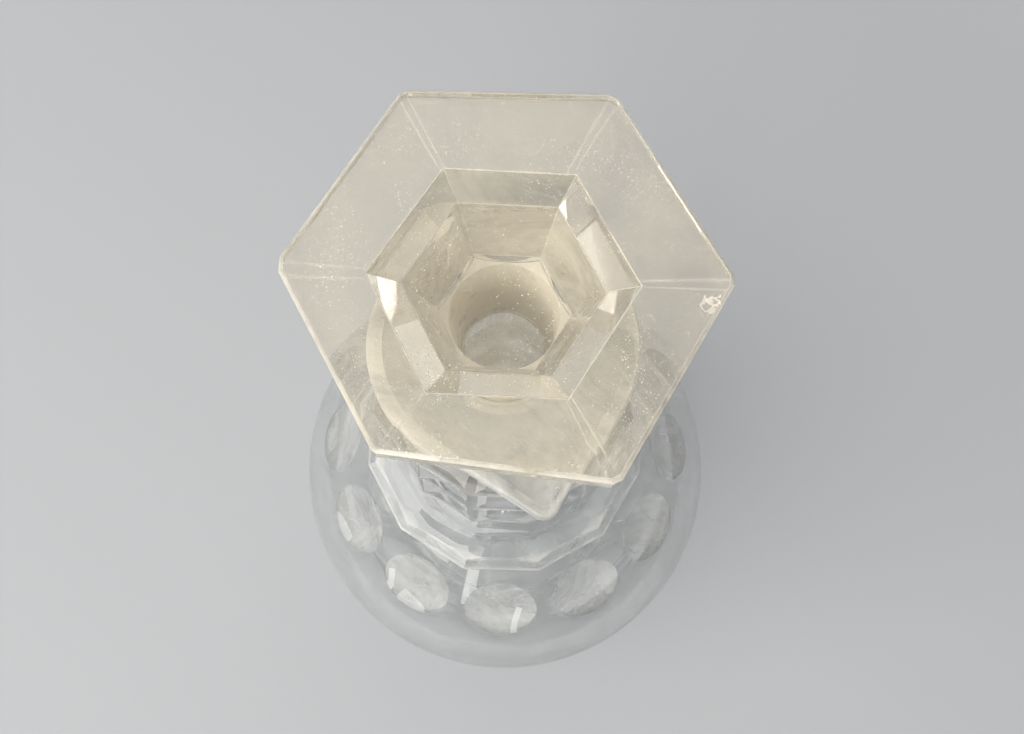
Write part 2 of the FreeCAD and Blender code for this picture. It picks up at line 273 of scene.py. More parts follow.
# Collar: flats, sloping facets, what is left of the cone, and the run-out of the neck flutes.
collar_foot = widest_height + body_radius * math.sin(seat_latitude)
collar_top = collar_foot + collar_rim
flat_radius = collar_flat / np.cos(offset)
facet_top = collar_top + collar_facet_reach * collar_slope
facet_foot = facet_top - (collar_flat - collar_corner + collar_facet_reach) * collar_facet_slope
runout = collar_corner - neck_flute_runout
runout_height = collar_top + neck_flute_runout * collar_slope
flute_slope = math.tan(neck_flute_tilt)
straight = np.cos(offset)


def facet_height(radius):
    return facet_foot + (collar_flat - radius * straight) * collar_facet_slope


def cone_height(radius):
    return collar_top + (collar_corner - radius) * collar_slope


def flute_height(radius):
    return runout_height + (runout - radius * straight) * flute_slope


facet_edge = crossing(neck_radius, collar_corner, lambda r: facet_height(r) > cone_height(r))
flute_edge = crossing(neck_radius, collar_corner, lambda r: flute_height(r) < cone_height(r))
shared_edge = crossing(neck_radius, collar_corner, lambda r: facet_height(r) > flute_height(r))
no_cone = flute_edge >= facet_edge
facet_edge = np.where(no_cone, shared_edge + 0.01 * mm, facet_edge)
flute_edge = np.where(no_cone, shared_edge - 0.01 * mm, flute_edge)
tangent = neck_flat + neck_flare * (1 - math.sin(neck_flute_tilt))
tangent_height = runout_height + (runout - tangent) * flute_slope
neck_start = tangent_height + neck_flare * math.cos(neck_flute_tilt)
sections.append(rows(steps(collar_seat_radius, flat_radius, 2), np.full((2, 1), collar_foot)))
worn_highlit_crease()
sections.append(rows(flat_radius[None], steps(collar_foot, facet_foot, 2)))
worn_highlit_crease()
radii = steps(flat_radius, facet_edge, 3)
sections.append(rows(radii, facet_height(radii)))
worn_highlit_crease()
sections.append(rows(facet_edge[None], np.minimum(facet_height(facet_edge), cone_height(facet_edge))[None]))
radii = steps(flute_edge, tangent / straight, 3)
sections.append(rows(radii, flute_height(radii)))
clouded(neck_cloud)
turn = np.radians(steps(270.0 - math.degrees(neck_flute_tilt), 180.0, 10))
sections.append(rows((neck_flat + neck_flare + neck_flare * np.cos(turn)) / straight,
                     neck_start + neck_flare * np.sin(turn)))

# Neck flutes and the three rings, each a double cone trimmed by twelve leaning facets above and below.
neck_wall = neck_flat / straight
height = neck_start
for index, node in enumerate(ring_nodes):
    ring_low, ring_high = (corner.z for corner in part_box(node))
    middle, half = (ring_low + ring_high) / 2, (ring_high - ring_low) / 2
    corner = ring_corner - index * ring_step
    crown = ring_crown - index * ring_step
    facet_crown = corner * math.cos(half_flute) - half * ring_lean
    rise = (corner - crown) / half
    edge = np.clip((facet_crown - crown * straight) / (rise * straight - ring_lean), 0.02 * half, 0.999 * half)
    edge_radius = crown + rise * edge
    middle_radius = corner * math.cos(half_flute) / straight
    sections.append(rows(neck_wall[None], steps(height, ring_low, 2)))
    crease()
    sections.append(rows(steps(neck_wall, crown, 2), np.full((2, 1), ring_low)))
    crease()
    sections.append(rows(steps(crown, edge_radius, 2), steps(ring_low, ring_low + edge, 2)))
    crease()
    sections.append(rows(steps(edge_radius, middle_radius, 3), steps(ring_low + edge, middle, 3)))
    worn_highlit_crease()
    sections.append(rows(steps(middle_radius, edge_radius, 3), steps(middle, ring_high - edge, 3)))
    crease()
    sections.append(rows(steps(edge_radius, crown, 2), steps(ring_high - edge, ring_high, 2)))
    crease()
    sections.append(rows(steps(crown, neck_wall, 2), np.full((2, 1), ring_high)))
    crease()
    height = ring_high


def lip_swell(height, power):
    """Share of the lip's flare reached at a height: the share of the height, to a power."""
    return np.clip((height - flare_foot) / (under_rim - flare_foot), 0, 1) ** power


# Lip: it flares out of the neck to a round rim that is drawn out to a pouring spout.
under_rim = lip_top - rim_thickness
flare_foot = lip_top - flare_height
flute_end = height + neck_flute_top_share * (lip_top - lip_root_drop - height)
sections.append(rows(neck_wall[None], steps(height, flute_end, 2)))
crease()


def lip_radius_at(height):
    return neck_radius + (rim_radius - rim_edge - neck_radius) * lip_swell(height, 1.9)


def lip_reach_at(height):
    return neck_radius + (spout_reach - rim_edge - neck_radius) * lip_swell(height, 2.05)


def flute_end_radius(height):
    return (neck_flat + (height - flute_end) / neck_flute_end_slope) / straight


flute_run = crossing(flute_end, under_rim, lambda z: flute_end_radius(z) < lip_radius_at(z))
heights = steps(flute_end, flute_run, 2)
sections.append(rows(flute_end_radius(heights), heights))
crease()
clouded(flare_cloud)
heights = steps(flute_run, under_rim, 14)
sections.append(rows(lip_radius_at(heights), heights, lip_reach_at(heights)))

# Rim, land and dish. The rim's edges are rounded by polishing. The rim is covered more and takes the bright
# colour, partly wear and partly a painted highlight line.
clouded(rim_cloud_and_highlight)
rim_from = sum(len(s) for s in sections)
for foot, start in ((under_rim + rim_edge, -90.0), (lip_top - rim_edge, 0.0)):
    turn = np.radians(steps(start, start + 90.0, 6))
    swell = rim_edge * np.cos(turn)
    sections.append(rows(rim_radius - rim_edge + swell, foot + rim_edge * np.sin(turn),
                         spout_reach - rim_edge + swell, spout_tip - rim_edge + swell))
dish_radius, dish_reach = rim_radius - land_width, spout_reach - land_width
rim_to = sum(len(s) for s in sections)
# The dish is covered more, and takes more of the creamy ground colour, than its frosting alone gives: partly
# frosting, partly painted light that lifts the shade of the stopper's table above it.
clouded(dish_cloud_and_painted_light)
sections.append(rows(steps(rim_radius - rim_edge, dish_radius, 2), np.full((2, 1), lip_top),
                     steps(spout_reach - rim_edge, dish_reach, 2), steps(spout_tip - rim_edge, spout_tip, 2)))
crease()
mouth = lip_top - dish_depth
sections.append(rows(steps(dish_radius, dish_foot, 8), steps(lip_top, mouth, 8),
                     steps(dish_reach, dish_foot_reach, 8)))
crease()

# Mouth, ground socket, bore and the blown space inside.
peg_taper = (peg_top_radius - peg_end_radius) / peg_length


def socket_radius(height):
    return peg_end_radius + (height - peg_end) * peg_taper + peg_clearance


socket_end = peg_end - socket_gap
sections.append(rows(steps(dish_foot, socket_radius(mouth), 3), np.full((3, 1), mouth),
                     steps(dish_foot_reach, socket_radius(mouth), 3)))
crease()
ground_from = sum(len(s) for s in sections)
clouded(socket_cloud)
heights = steps(mouth, socket_end, 10)
sections.append(rows(socket_radius(heights), heights))
crease()
ground_to = sum(len(s) for s in sections)
clouded(inside_cloud)
sections.append(rows(steps(socket_radius(socket_end), bore_radius, 3),
                     steps(socket_end, socket_end - relief_height, 3)))
crease()
reach_out = bore_radius + bore_blend
blend_rise = math.sqrt((cavity_radius + bore_blend) ** 2 - reach_out ** 2)
blend_turn = math.degrees(math.atan2(blend_rise, reach_out))
blend_height = widest_height + blend_rise
sections.append(rows(np.full((6, 1), bore_radius), steps(socket_end - relief_height, blend_height, 6)))
sections.append(arc_rows(reach_out, blend_height, bore_blend, 180.0, 180.0 + blend_turn, 9))
sections.append(arc_rows(0.0, widest_height, cavity_radius, blend_turn, 0.0, 26))
corner_height = floor_height + cavity_corner
inward, drop = cavity_radius - cavity_foot, widest_height - corner_height
inner_bow = (inward ** 2 + drop ** 2) / (2 * inward)
heights = steps(widest_height, corner_height, 14)
inner_wall = cavity_radius - inner_bow + np.sqrt(inner_bow ** 2 - (widest_height - heights) ** 2)
sections.append(rows(inner_wall, heights))
sections.append(arc_rows(cavity_foot - cavity_corner, corner_height, cavity_corner, 0.0, -90.0, 10))
sections.append(rows(steps(cavity_foot - cavity_corner, 0.0, 6), np.full((6, 1), floor_height)))


def drawn_out(radius, reach, tip):
    """Where a column meets the outline of a circle that is drawn out to a small tip circle towards -Y.

    Past the angle where the straight sides leave the big circle, a column keeps its own angle. Inside it,
    the outer half of the columns runs along the straight side and the inner half round the tip.
    """
    away = (angle + math.pi / 2 + math.pi) % (2 * math.pi) - math.pi
    side, spread = np.sign(away), np.abs(away)
    centre = np.maximum(reach - tip, 1e-9)
    leave = np.arccos(np.clip((radius - tip) / centre, -1, 1))
    share = np.clip(spread / np.maximum(leave, 1e-9), 0, 1)
    round_tip = np.minimum(share * 2, 1) * leave
    run = np.clip(share * 2 - 1, 0, 1)
    tip_x, tip_y = tip * np.sin(round_tip), centre + tip * np.cos(round_tip)
    side_x = tip_x + (radius * np.sin(leave) - tip_x) * run
    side_y = tip_y + (radius * np.cos(leave) - tip_y) * run
    on_circle = spread >= leave
    x = np.where(on_circle, radius * np.sin(spread), side_x)
    y = np.where(on_circle, radius * np.cos(spread), side_y)
    return side * x, -y


def closed_grid(name, points, first_pole, last_pole, sharp_rows, sharp_angle):
    """Mesh of a grid of rows by columns, closed round its columns and with a fan to a pole at each end.

    Quad r, c joins points (r, c), (r, c + 1), (r + 1, c + 1) and (r + 1, c). Edges along sharp_rows, and all
    edges where the faces turn by more than sharp_angle, are sharp.
    """
    row_count, width = points.shape[:2]
    index = np.arange(row_count * width).reshape(row_count, width)
    beside = np.roll(index, -1, axis=1)
    quads = np.stack([index[:-1], beside[:-1], beside[1:], index[1:]], axis=-1).reshape(-1, 4)
    first, last = row_count * width, row_count * width + 1
    fan_in = np.stack([np.full(width, first), beside[0], index[0]], axis=-1)
    fan_out = np.stack([np.full(width, last), index[-1], beside[-1]], axis=-1)
    mesh = bpy.data.meshes.new(name)
    vertices = np.concatenate([points.reshape(-1, 3), [first_pole, last_pole]])
    loops = np.concatenate([fan_in.ravel(), quads.ravel(), fan_out.ravel()]).astype(np.int32)
    sizes = np.concatenate([np.full(width, 3), np.full(len(quads), 4), np.full(width, 3)])
    mesh.vertices.add(len(vertices))
    mesh.vertices.foreach_set("co", vertices.ravel().astype(np.float32))
    mesh.loops.add(len(loops))
    mesh.loops.foreach_set("vertex_index", loops)
    mesh.polygons.add(len(sizes))
    mesh.polygons.foreach_set("loop_start", (np.cumsum(sizes) - sizes).astype(np.int32))
    mesh.update(calc_edges=True)
    mesh.polygons.foreach_set("use_smooth", np.ones(len(sizes), bool))
    mesh.set_sharp_from_angle(angle=sharp_angle)
    ends = np.empty(len(mesh.edges) * 2, np.int32)
    mesh.edges.foreach_get("vertices", ends)
    row = ends.reshape(-1, 2) // width
    along_row = (row[:, 0] == row[:, 1]) & np.isin(row[:, 0], sharp_rows) & (row[:, 0] < row_count)
    sharp = np.zeros(len(mesh.edges), bool)
    mesh.attributes["sharp_edge"].data.foreach_get("value", sharp)
    mesh.attributes["sharp_edge"].data.foreach_set("value", sharp | along_row)
    mesh.validate()
    piece = bpy.data.objects.new(name, mesh)
    bpy.context.collection.objects.link(piece)
    return piece


def point_values(piece, name, values):
    """Attribute with a value for each point of a grid of rows by columns. A pole takes its own row's value."""
    whole = np.concatenate([values.ravel(), [values[0, 0], values[-1, 0]]])
    piece.data.attributes.new(name, "FLOAT", "POINT").data.foreach_set("value", whole.astype(np.float32))


def under_surface(piece, name, depth):
    """Copy of a piece whose every point is moved inward along its normal by a small depth."""
    film = bpy.data.objects.new(name, piece.data.copy())
    points = film.data.vertices
    place, outward = np.empty(len(points) * 3, np.float32), np.empty(len(points) * 3, np.float32)
    points.foreach_get("co", place)
    points.foreach_get("normal", outward)
    points.foreach_set("co", place - depth * outward)
    bpy.context.collection.objects.link(film)
    return film


# The attributes: ground where the wheel or the grinding left the glass matt, cloud for how much of the surface is
# covered, and a third where the cover is bright: on worn edges and the rim, where the bright colour is partly wear
# and partly a painted highlight, and in part in the round cuts.
lens_sinking = 0.03 * mm
# The dish's share of the ground colour is partly frosting and partly painted light that lifts the stopper's shade.
dish_ground_and_painted_light_share = 0.6
lens_bright_share = 0.4
vessel_sharp_angle = math.radians(14.0)
section = np.concatenate(sections)
row_number = np.arange(len(section))[:, None]
every_column = np.ones(column_count)
cloud = np.take(cloud_shares, np.searchsorted(cloud_rows, row_number, side="right") - 1) * every_column
sunk = body_radius - np.hypot(section[..., 0], section[..., 3] - widest_height)
in_lens = (row_number >= shoulder_from) & (row_number < shoulder_to) & (sunk > lens_sinking)
cloud = np.where(in_lens, lens_cloud, cloud)
# Worn edges are covered more and take the bright colour, which is partly wear and partly a painted highlight.
worn_highlit_edge = np.isin(row_number, worn_highlit_rows)
cloud = np.where(worn_highlit_edge, worn_highlit_edge_cloud, cloud)
socket_rows = (row_number >= ground_from) & (row_number <= ground_to)
dish_rows = (row_number >= rim_from) & (row_number < ground_from)
# The rim's rows take the bright colour: partly wear, partly a painted highlight.
rim_wear_and_highlight_rows = (row_number >= rim_from) & (row_number <= rim_to)
x, y = drawn_out(section[..., 0], section[..., 1], section[..., 2])
vessel = closed_grid(
    "decanter_glass", np.stack([x, y, section[..., 3]], axis=-1),
    (0, 0, base_hollow), (0, 0, floor_height), crease_rows, vessel_sharp_angle,
)
point_values(vessel, "ground", (socket_rows + dish_ground_and_painted_light_share * dish_rows) * every_column)
point_values(vessel, "cloud", cloud)
# The bright colour on the rim and the worn edges is partly wear and partly a painted highlight.
point_values(vessel, "wear_and_highlight", np.maximum((rim_wear_and_highlight_rows | worn_highlit_edge) * every_column, lens_bright_share * in_lens))


def node(tree, kind, **values):
    """Adds a shader node, with its properties and unlinked inputs set by name."""
    made = tree.nodes.new(kind)
    for key, value in values.items():
        socket = made.inputs.get(key.replace("_", " "))
        if socket is None:
            setattr(made, key, value)
        else:
            socket.default_value = value
    return made


def new_group(name, inputs, outputs):
    """Empty node group with float inputs and typed outputs, and its two end nodes."""
    group = bpy.data.node_groups.new(name, "ShaderNodeTree")
    for label, kind, value in inputs:
        made = group.interface.new_socket(label, in_out="INPUT", socket_type=kind)
        made.default_value = value
    for label, kind in outputs:
        group.interface.new_socket(label, in_out="OUTPUT", socket_type=kind)
    return group, group.nodes.new("NodeGroupInput"), group.nodes.new("NodeGroupOutput")


def settled_dust():
    """Group: the share of the surface that is covered. It is the Cloud value, made uneven by a soft noise, and
    specks of dust on what faces up, which gather where a wider noise is high. Speck Mask is 1 on a speck."""
    group, given, out = new_group(
        "settled_dust",
        [("Cloud", "NodeSocketFloat", 0.2), ("Specks", "NodeSocketFloat", 0.5),
         ("Speck Scale", "NodeSocketFloat", 2500.0)],
        [("Cover", "NodeSocketFloat"), ("Speck Mask", "NodeSocketFloat")],
    )
    place = node(group, "ShaderNodeTexCoord")
    cells = node(group, "ShaderNodeTexVoronoi", feature="F1")
    cluster = node(group, "ShaderNodeTexNoise", Scale=120.0, Detail=4.0)
    size = node(group, "ShaderNodeMapRange", From_Min=0.38, From_Max=0.64, To_Min=0.10, To_Max=0.30)
    chance = node(group, "ShaderNodeSeparateColor")
    varied = node(group, "ShaderNodeMath", operation="MULTIPLY")
    near = node(group, "ShaderNodeMath", operation="LESS_THAN")
    normal = node(group, "ShaderNodeNewGeometry")
    split = node(group, "ShaderNodeSeparateXYZ")
    upward = node(group, "ShaderNodeMapRange", From_Min=0.35, From_Max=0.9)
    facing = node(group, "ShaderNodeMath", operation="MULTIPLY")
    scaled = node(group, "ShaderNodeMath", operation="MULTIPLY")
    smear = node(group, "ShaderNodeTexNoise", Scale=42.0, Detail=7.0, Roughness=0.6, Distortion=1.8)
    uneven = node(group, "ShaderNodeMapRange", From_Min=0.3, From_Max=0.7, To_Min=0.15, To_Max=1.85)
    cover = node(group, "ShaderNodeMath", operation="MULTIPLY_ADD", use_clamp=True)
    link = group.links.new
    link(place.outputs["Object"], cells.inputs["Vector"])
    link(given.outputs["Speck Scale"], cells.inputs["Scale"])
    link(place.outputs["Object"], cluster.inputs["Vector"])
    link(cluster.outputs["Fac"], size.inputs["Value"])
    link(cells.outputs["Distance"], near.inputs[0])
    link(cells.outputs["Color"], chance.inputs["Color"])
    link(size.outputs["Result"], varied.inputs[0])
    link(chance.outputs["Red"], varied.inputs[1])
    link(varied.outputs["Value"], near.inputs[1])
    link(normal.outputs["Normal"], split.inputs["Vector"])
    link(split.outputs["Z"], upward.inputs["Value"])
    link(near.outputs["Value"], facing.inputs[0])
    link(upward.outputs["Result"], facing.inputs[1])
    link(facing.outputs["Value"], scaled.inputs[0])
    link(given.outputs["Specks"], scaled.inputs[1])
    link(place.outputs["Object"], smear.inputs["Vector"])
    link(smear.outputs["Fac"], uneven.inputs["Value"])
    link(uneven.outputs["Result"], cover.inputs[0])
    link(given.outputs["Cloud"], cover.inputs[1])
    link(scaled.outputs["Value"], cover.inputs[2])
    link(cover.outputs["Value"], out.inputs["Cover"])
    link(facing.outputs["Value"], out.inputs["Speck Mask"])
    return group


dust = settled_dust()


lead_glass_index = 1.53
polish = 0.004
ground_roughness = 0.42
shadow_tint = (0.84, 0.85, 0.85)


def cut_glass(name, clear, ground, ripple):
    """Lead glass. It is rough and takes another tint where the ground attribute marks it as ground.

    Rays from the lamps pass straight through, so that the glass throws a light shadow.
    """
    material = bpy.data.materials.new(name)
    material.use_nodes = True
    tree = material.node_tree
    tree.nodes.clear()
    link = tree.links.new
    ground_mask = node(tree, "ShaderNodeAttribute", attribute_name="ground")
    place = node(tree, "ShaderNodeTexCoord")
    grain = node(tree, "ShaderNodeTexNoise", Scale=2600.0, Detail=2.0)
    waves = node(tree, "ShaderNodeTexNoise", Scale=38.0, Detail=2.0)
    tint = node(tree, "ShaderNodeMix", data_type="RGBA")
    tint.inputs["A"].default_value = (*clear, 1)
    tint.inputs["B"].default_value = (*ground, 1)
    rough = node(tree, "ShaderNodeMath", operation="MULTIPLY_ADD", use_clamp=True)
    rough.inputs[1].default_value = ground_roughness
    rough.inputs[2].default_value = polish
    relief = node(tree, "ShaderNodeMath", operation="MULTIPLY")
    fine = node(tree, "ShaderNodeBump", Strength=0.5, Distance=0.00003)
    soft = node(tree, "ShaderNodeBump", Strength=ripple, Distance=0.0004)
    glass = node(tree, "ShaderNodeBsdfPrincipled", IOR=lead_glass_index, Metallic=0.0)
    glass.inputs["Transmission Weight"].default_value = 1.0
    through = node(tree, "ShaderNodeBsdfTransparent")
    through.inputs["Color"].default_value = (*shadow_tint, 1)
    path = node(tree, "ShaderNodeLightPath")
    lit = node(tree, "ShaderNodeMixShader")
    out = node(tree, "ShaderNodeOutputMaterial")
    link(ground_mask.outputs["Fac"], tint.inputs["Factor"])
    link(tint.outputs["Result"], glass.inputs["Base Color"])
    link(ground_mask.outputs["Fac"], rough.inputs[0])
    link(rough.outputs["Value"], glass.inputs["Roughness"])
    link(place.outputs["Object"], grain.inputs["Vector"])
    link(place.outputs["Object"], waves.inputs["Vector"])
    link(grain.outputs["Fac"], relief.inputs[0])
    link(ground_mask.outputs["Fac"], relief.inputs[1])
    link(relief.outputs["Value"], fine.inputs["Height"])
    link(waves.outputs["Fac"], soft.inputs["Height"])
    link(soft.outputs["Normal"], fine.inputs["Normal"])
    link(fine.outputs["Normal"], glass.inputs["Normal"])
    link(path.outputs["Is Shadow Ray"], lit.inputs["Fac"])
    link(glass.outputs["BSDF"], lit.inputs[1])
    link(through.outputs["BSDF"], lit.inputs[2])
    link(lit.outputs["Shader"], out.inputs["Surface"])
    return material


def clouded_highlit_skin(name, dusty, ground, wear_and_highlight, specks, mark=None, mark_cover=0.0):
    """What use has left in the glass's skin: matt dust and scratches with clear glass between them, a milky
    layer of another colour where it is ground, and a third, bright colour on worn edges and grains of dust. On
    the edges this bright colour is partly wear and partly a painted highlight. A mark is a function that adds a
    mask to the tree: what it masks is painted bright too, and is covered by mark_cover more."""
    material = bpy.data.materials.new(name)
    material.use_nodes = True
    tree = material.node_tree
    link = tree.links.new
    skin = tree.nodes["Principled BSDF"]
    skin.inputs["Roughness"].default_value = 1.0
    skin.inputs["Specular IOR Level"].default_value = 0.0
    ground_mask = node(tree, "ShaderNodeAttribute", attribute_name="ground")
    cloud_mask = node(tree, "ShaderNodeAttribute", attribute_name="cloud")
    tint = node(tree, "ShaderNodeMix", data_type="RGBA")
    tint.inputs["A"].default_value = (*dusty, 1)
    tint.inputs["B"].default_value = (*ground, 1)
    wear_and_highlight_mask = node(tree, "ShaderNodeAttribute", attribute_name="wear_and_highlight")
    bright = node(tree, "ShaderNodeMath", operation="MAXIMUM")
    # The bright colour: on worn edges it is partly wear and partly a painted highlight, on grains of dust it is
    # the dust's own.
    wear_and_highlight_mix = node(tree, "ShaderNodeMix", data_type="RGBA")
    wear_and_highlight_mix.inputs["B"].default_value = (*wear_and_highlight, 1)
    cover = node(tree, "ShaderNodeGroup")
    cover.node_tree = dust
    cover.inputs["Specks"].default_value = specks
    link(ground_mask.outputs["Fac"], tint.inputs["Factor"])
    link(tint.outputs["Result"], wear_and_highlight_mix.inputs["A"])
    link(wear_and_highlight_mask.outputs["Fac"], bright.inputs[0])
    link(cover.outputs["Speck Mask"], bright.inputs[1])
    link(bright.outputs["Value"], wear_and_highlight_mix.inputs["Factor"])
    link(wear_and_highlight_mix.outputs["Result"], skin.inputs["Base Color"])
    link(cloud_mask.outputs["Fac"], cover.inputs["Cloud"])
    link(cover.outputs["Cover"], skin.inputs["Alpha"])
    if mark is not None:
        mask = mark(tree)
        marked = node(tree, "ShaderNodeMath", operation="MAXIMUM")
        covered = node(tree, "ShaderNodeMath", operation="MULTIPLY_ADD", use_clamp=True)
        covered.inputs[1].default_value = mark_cover
        link(bright.outputs["Value"], marked.inputs[0])
        link(mask, marked.inputs[1])
        link(marked.outputs["Value"], wear_and_highlight_mix.inputs["Factor"])
        link(mask, covered.inputs[0])
        link(cover.outputs["Cover"], covered.inputs[2])
        link(covered.outputs["Value"], skin.inputs["Alpha"])
    return material


# The dust, the scratches and the painted highlights on worn edges lie on a film a hair's breadth under the glass's
# surface, which is no piece of its own.
skin_depth = 0.05 * mm
vessel_glass = cut_glass("clear_cut_glass", clear=(0.884, 0.892, 0.891), ground=(0.93, 0.92, 0.88), ripple=0.015)
vessel_haze_and_highlight = clouded_highlit_skin("decanter_haze_and_highlight", dusty=(0.56, 0.57, 0.56), ground=(0.90, 0.86, 0.76),
                           wear_and_highlight=(0.95, 0.93, 0.87), specks=0.1)
vessel_skin = under_surface(vessel, "decanter_skin", skin_depth)
vessel.data.materials.append(vessel_glass)
vessel_skin.data.materials.append(vessel_haze_and_highlight)
for piece in (vessel, vessel_skin):
    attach(piece, "decanter")
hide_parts("decanter_vessel", *ring_nodes)


# The stopper: one solid lump of clear glass, cut to a flat six-sided table with blunted corners, a six-sided
# neck that flares into it, a six-sided shank and a short upright heel. Its round taper peg was ground to a
# frosted, creamy finish to fit the decanter's neck.
table_top = stopper_high.z
table_corner = 30.6 * mm
table_turn = -15.5
corner_shares = np.array([1.007, 1.017, 1.011, 0.989, 0.946, 1.028])
corner_turns = np.array([0.1, 1.75, -0.3, -0.3, -2.1, -0.8])
blunt_shares = np.array([0.055, 0.055, 0.045, 0.08, 0.025, 0.05])
table_bevel = 0.6 * mm
girdle = 3.0 * mm
underside_drop = 1.2 * mm
underside_end_share = 0.5
shank_turn = -16.3
flare_top = 19.5 * mm
flare_drop = 5.4 * mm
shank_top = 14.2 * mm
shank_length = 15.4 * mm
shank_foot = 10.1 * mm
heel_height = 4.0 * mm
heel_end = 9.9 * mm
heel_cone = math.tan(math.radians(50.0))
peg_bevel = 0.4 * mm
arris = 0.2 * mm
# The edges are worn and carry a painted highlight: how wide that bright line is, and how much of the upright edges
# it covers.
worn_highlight_width = 0.22 * mm
table_edge_wear_and_highlight = 0.3
shank_edge_wear_and_highlight = 0.6
column_gap = math.radians(2.0)
stopper_sharp_angle = math.radians(2.3)

# Outline of the table: each corner is cut across.
corner_turn = np.radians(table_turn + 360.0 * np.arange(6) / 6 + corner_turns)
corners = corner_shares * table_corner * np.exp(1j * corner_turn)
before, after = np.roll(corners, 1), np.roll(corners, -1)
cut_in = corners + blunt_shares * table_corner / 2 * (before - corners) / np.abs(before - corners)
cut_out = corners + blunt_shares * table_corner / 2 * (after - corners) / np.abs(after - corners)
table_outline = np.stack([cut_in, cut_out], axis=1).ravel()
shank_outline = np.exp(1j * np.radians(shank_turn + 360.0 * np.arange(6) / 6))

# The columns of the grid stand in upright planes through every corner of both outlines and close beside it, and
# evenly between.
beside_corner = np.exp(1j * np.array([-1, 0, 1]) * worn_highlight_width / shank_top)
corner_points = np.concatenate([table_outline, shank_outline * shank_top])
corner_bearings = np.sort(np.angle(np.outer(corner_points, beside_corner).ravel()))
spans = np.diff(np.append(corner_bearings, corner_bearings[0] + 2 * math.pi))
counts = np.ceil(spans / column_gap).astype(int)
within = np.arange(counts.sum()) - np.repeat(np.cumsum(counts) - counts, counts)
bearing = np.repeat(corner_bearings, counts) + within * np.repeat(spans / counts, counts)


def outline_reach(outline):
    """Distance from the axis to a straight-sided outline along each column: the nearest of its sides' lines,
    each of which is its distance from the axis over the cosine of the angle to its outward direction."""
    side = np.roll(outline, -1) - outline
    facing = -1j * side / np.abs(side)
    distance = (outline * facing.conj()).real
    square = np.cos(bearing[:, None] - np.angle(facing))
    return np.min(np.where(square > 0.1, distance / np.maximum(square, 0.1), np.inf), axis=1)


table_reach = outline_reach(table_outline)
shank_reach = outline_reach(shank_outline)
girdle_foot = table_top - table_bevel - girdle
waist = girdle_foot - flare_drop
foot = waist - shank_length
peg_top = foot - heel_height

# Depths under the girdle where the underside meets the flare, and heights above the peg where the heel's
# flats meet the cone that the grinding left round the top of the peg.
underside_pull = table_reach * (1 - underside_end_share) / underside_drop
flare_pull = shank_reach * (flare_top - shank_top) / flare_drop
flare_depth = (table_reach - shank_reach * flare_top) / (underside_pull - flare_pull)
heel_pull = shank_reach * (shank_foot - heel_end) / heel_height
arch = (shank_reach * heel_end - peg_top_radius) / (1 / heel_cone - heel_pull)
peg_rows = steps(peg_top, peg_end + peg_bevel, 12)
arch_rows = steps(arch, np.zeros(len(bearing)), 4)[1:]
bevel_in = table_reach * (1 - table_bevel / table_corner)
underside = arris / table_reach * underside_drop / (1 - underside_end_share)
flare_edge = (table_reach - flare_depth * underside_pull, girdle_foot - flare_depth)
waist_edge = (shank_reach * shank_top, waist)
shank_middle = (shank_reach * (shank_top + shank_foot) / 2, (waist + foot) / 2)
foot_edge = (shank_reach * shank_foot, foot)
arch_edge = (shank_reach * heel_end + heel_pull * arch, peg_top + arch)


def beside(row, other):
    """Row a hair's breadth from one row towards another, so that the worn line on an edge, which carries a painted
    highlight, stays narrow.
    """
    span = np.hypot(other[0] - row[0], other[1] - row[1])
    return tuple(a + (b - a) * worn_highlight_width / span for a, b in zip(row, other))


# Each row of the grid: its radius and height in every column, how cloudy it is, and whether it is an edge. On the
# edges the high cloud carries the bright colour, partly wear and partly a painted highlight.
frosted = 1.3
end_frosted = 0.45
end_row_count = 2
stops = [
    (table_reach / 2, table_top, 0.10, False),
    (bevel_in - 1.5 * mm, table_top, 0.10, False),
    (bevel_in - worn_highlight_width, table_top, 0.14, False),
    (bevel_in, table_top, 0.45, True),
    (table_reach, table_top - table_bevel, 0.9, True),
    (table_reach, table_top - table_bevel - worn_highlight_width, 0.1, False),
    (table_reach, girdle_foot + arris, 0.1, True),
    (table_reach - arris, girdle_foot - underside, 0.1, True),
    (*beside(flare_edge, (table_reach, girdle_foot)), 0.08, False),
    (*flare_edge, 0.8, True),
    (*beside(flare_edge, waist_edge), 0.08, False),
    (*beside(waist_edge, flare_edge), 0.08, False),
    (*waist_edge, 0.8, True),
    (*beside(waist_edge, shank_middle), 0.34, False),
    (*shank_middle, 0.55, False),
    (*beside(foot_edge, shank_middle), 0.55, False),
    (*foot_edge, 0.8, True),
    (*beside(foot_edge, arch_edge), 0.1, False),
    (*beside(arch_edge, foot_edge), 0.1, False),
]
bevel_row, rim_row, flare_row, waist_row, foot_row = 3, 4, 9, 12, 16
ground_row = len(stops)
stops += [(*arch_edge, frosted, True)]
stops += [(peg_top_radius + row / heel_cone, peg_top + row, frosted, False) for row in arch_rows]
peg_row = len(stops)
stops += [(peg_end_radius + (row - peg_end) * peg_taper, row, frosted, False) for row in peg_rows[:, 0]]
stops += [
    (peg_end_radius + peg_bevel * peg_taper, peg_end + peg_bevel, frosted, True),
    (peg_end_radius - peg_bevel, peg_end, end_frosted, True),
    (peg_end_radius / 2, peg_end, end_frosted, False),
]
radius_rows = np.array([np.broadcast_to(stop[0], len(bearing)) for stop in stops])
level_rows = np.array([np.broadcast_to(stop[1], len(bearing)) for stop in stops])
edge_rows = [row for row, stop in enumerate(stops) if stop[3]] + [peg_row]

